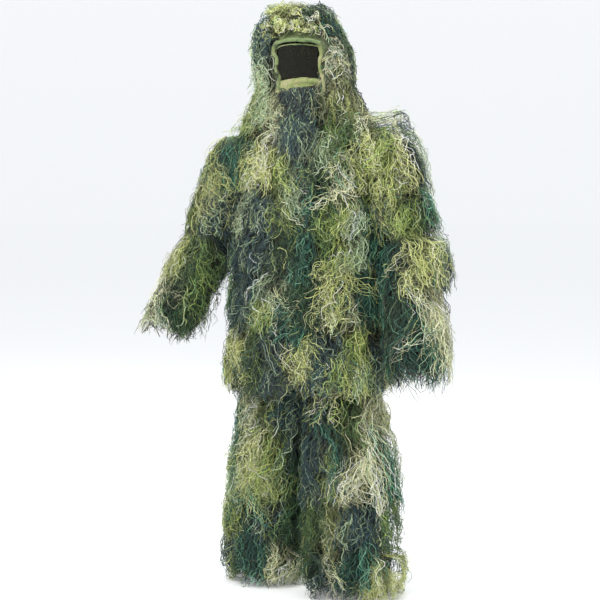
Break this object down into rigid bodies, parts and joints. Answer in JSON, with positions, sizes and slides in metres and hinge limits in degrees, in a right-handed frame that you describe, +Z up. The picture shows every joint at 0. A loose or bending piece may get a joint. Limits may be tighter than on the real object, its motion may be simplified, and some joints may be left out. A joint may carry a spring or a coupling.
{
  "type": "ghillie suit",
  "caption": "Hooded camouflage suit of light fabric covered in rows of loose crimped thread, with a face veil, a jacket and trousers that bend at their joints.",
  "frame": {"origin": "midway between the wearer's shoulders at the base of the neck, where the jacket hangs", "axes": "+Z up, -Y towards the front of the suit, +X towards the wearer's left side"},
  "size_m": [0.9845, 0.4706, 1.8326],
  "materials": {
    "base_fabric": "matt woven camouflage fabric",
    "thread": "crimped loose thread, mixed greens, tan and slate",
    "mesh_fabric": "fine dark netting",
    "brim_fabric": "stiffened camouflage fabric",
    "elastic": "ribbed woven elastic",
    "tape": "herringbone tape",
    "press_studs": "black enamel"
  },
  "bodies": {
    "jacket": {"jacket_back": "base_fabric", "jacket_front_left": "base_fabric", "jacket_front_right": "base_fabric", "jacket_collar": "base_fabric", "jacket_hem_tape": "tape", "jacket_sockets": "press_studs", "torso_yarn_shoulder": "thread", "torso_yarn_chest": "thread", "torso_yarn_ribs": "thread", "torso_yarn_waist": "thread", "torso_yarn_hip": "thread", "torso_yarn_hem": "thread"},
    "placket": {"placket_flap": "base_fabric", "placket_studs": "press_studs", "placket_yarn": "thread"},
    "hood": {"hood_shell": "base_fabric", "hood_brim": "brim_fabric", "hood_sockets": "press_studs", "hood_yarn_crown": "thread", "hood_yarn_cape": "thread"},
    "veil": {"veil_mesh": "mesh_fabric", "veil_band": "base_fabric", "veil_studs": "press_studs", "veil_yarn": "thread"},
    "trousers": {"trousers_seat": "base_fabric", "waistband": "tape", "waist_elastic": "elastic", "crotch_gusset": "base_fabric", "seat_yarn": "thread"},
    "left_upper_sleeve": {"left_upper_sleeve": "base_fabric", "left_upper_sleeve_yarn_top": "thread", "left_upper_sleeve_yarn_bottom": "thread"},
    "left_lower_sleeve": {"left_lower_sleeve": "base_fabric", "left_lower_sleeve_yarn_top": "thread", "left_lower_sleeve_yarn_bottom": "thread", "left_cuff_elastic": "elastic"},
    "left_thigh": {"left_thigh": "base_fabric", "left_thigh_yarn_top": "thread", "left_thigh_yarn_bottom": "thread"},
    "left_shin": {"left_shin": "base_fabric", "left_shin_yarn_top": "thread", "left_shin_yarn_middle": "thread", "left_shin_yarn_bottom": "thread", "left_ankle_elastic": "elastic"},
    "right_upper_sleeve": {"right_upper_sleeve": "base_fabric", "right_upper_sleeve_yarn_top": "thread", "right_upper_sleeve_yarn_bottom": "thread"},
    "right_lower_sleeve": {"right_lower_sleeve": "base_fabric", "right_lower_sleeve_yarn_top": "thread", "right_lower_sleeve_yarn_bottom": "thread", "right_cuff_elastic": "elastic"},
    "right_thigh": {"right_thigh": "base_fabric", "right_thigh_yarn_top": "thread", "right_thigh_yarn_bottom": "thread"},
    "right_shin": {"right_shin": "base_fabric", "right_shin_yarn_top": "thread", "right_shin_yarn_middle": "thread", "right_shin_yarn_bottom": "thread", "right_ankle_elastic": "elastic"}
  },
  "joints": [
    {"name": "hood_lift", "type": "slide", "parent": "jacket", "child": "hood", "axis": [0, 0, 1], "range_m": [0, 0.3]},
    {"name": "veil_flip", "type": "hinge", "parent": "hood", "child": "veil", "pos_m": [0, -0.151, 0.2335], "axis": [-1, 0, 0], "range_deg": [0, 70]},
    {"name": "placket_open", "type": "hinge", "parent": "jacket", "child": "placket", "pos_m": [-0.032, -0.218, -0.45], "axis": [0, 0, -1], "range_deg": [0, 90]},
    {"name": "left_shoulder", "type": "hinge", "parent": "jacket", "child": "left_upper_sleeve", "pos_m": [0.2, 0, -0.075], "axis": [0, -1, 0], "range_deg": [0, 60]},
    {"name": "right_shoulder", "type": "hinge", "parent": "jacket", "child": "right_upper_sleeve", "pos_m": [-0.2, 0, -0.075], "axis": [0, 1, 0], "range_deg": [0, 60]},
    {"name": "left_elbow", "type": "hinge", "parent": "left_upper_sleeve", "child": "left_lower_sleeve", "pos_m": [0.31426, 0, -0.35779], "axis": [-1, 0, 0], "range_deg": [-15, 55]},
    {"name": "right_elbow", "type": "hinge", "parent": "right_upper_sleeve", "child": "right_lower_sleeve", "pos_m": [-0.31426, 0, -0.35779], "axis": [-1, 0, 0], "range_deg": [-15, 55]},
    {"name": "trousers_slide", "type": "slide", "parent": "jacket", "child": "trousers", "axis": [0, 0, -1], "range_m": [0, 0.3]},
    {"name": "left_hip", "type": "hinge", "parent": "trousers", "child": "left_thigh", "pos_m": [0.105, 0, -0.7], "axis": [-1, 0, 0], "range_deg": [-15, 12]},
    {"name": "right_hip", "type": "hinge", "parent": "trousers", "child": "right_thigh", "pos_m": [-0.105, 0, -0.7], "axis": [-1, 0, 0], "range_deg": [-10, 18]},
    {"name": "left_knee", "type": "hinge", "parent": "left_thigh", "child": "left_shin", "pos_m": [0.122, -0.03, -0.975], "axis": [1, 0, 0], "range_deg": [0, 70]},
    {"name": "right_knee", "type": "hinge", "parent": "right_thigh", "child": "right_shin", "pos_m": [-0.122, 0.008, -0.975], "axis": [1, 0, 0], "range_deg": [0, 70]}
  ]
}
